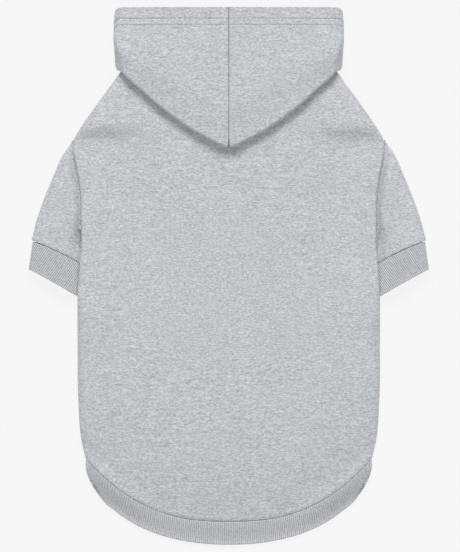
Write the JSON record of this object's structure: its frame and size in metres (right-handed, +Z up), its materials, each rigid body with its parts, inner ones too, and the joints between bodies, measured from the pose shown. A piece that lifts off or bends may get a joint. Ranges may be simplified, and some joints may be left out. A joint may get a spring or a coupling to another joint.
{
  "type": "dog hoodie",
  "caption": "Short-sleeved fleece dog hoodie lying flat on its belly side, hood turned down over the back, ribbed cuffs and hem band, open at neck, sleeves and tail.",
  "frame": {"origin": "on the surface it lies on, under the middle of the garment's overall box", "axes": "+Z up from the surface, +Y from the tail to the neck, +X to the garment's right as it is seen from above"},
  "size_m": [0.399, 0.5382, 0.0363],
  "materials": {
    "fleece": "matte heather-grey brushed fleece",
    "rib": "matte heather-grey rib knit"
  },
  "bodies": {
    "root": {"back_panel": "fleece", "belly_panel": "fleece", "hood_left": "fleece", "hood_right": "fleece", "sleeve_left": "fleece", "sleeve_right": "fleece", "cuff_left": "rib", "cuff_right": "rib", "hem_band": "rib"}
  },
  "joints": []
}
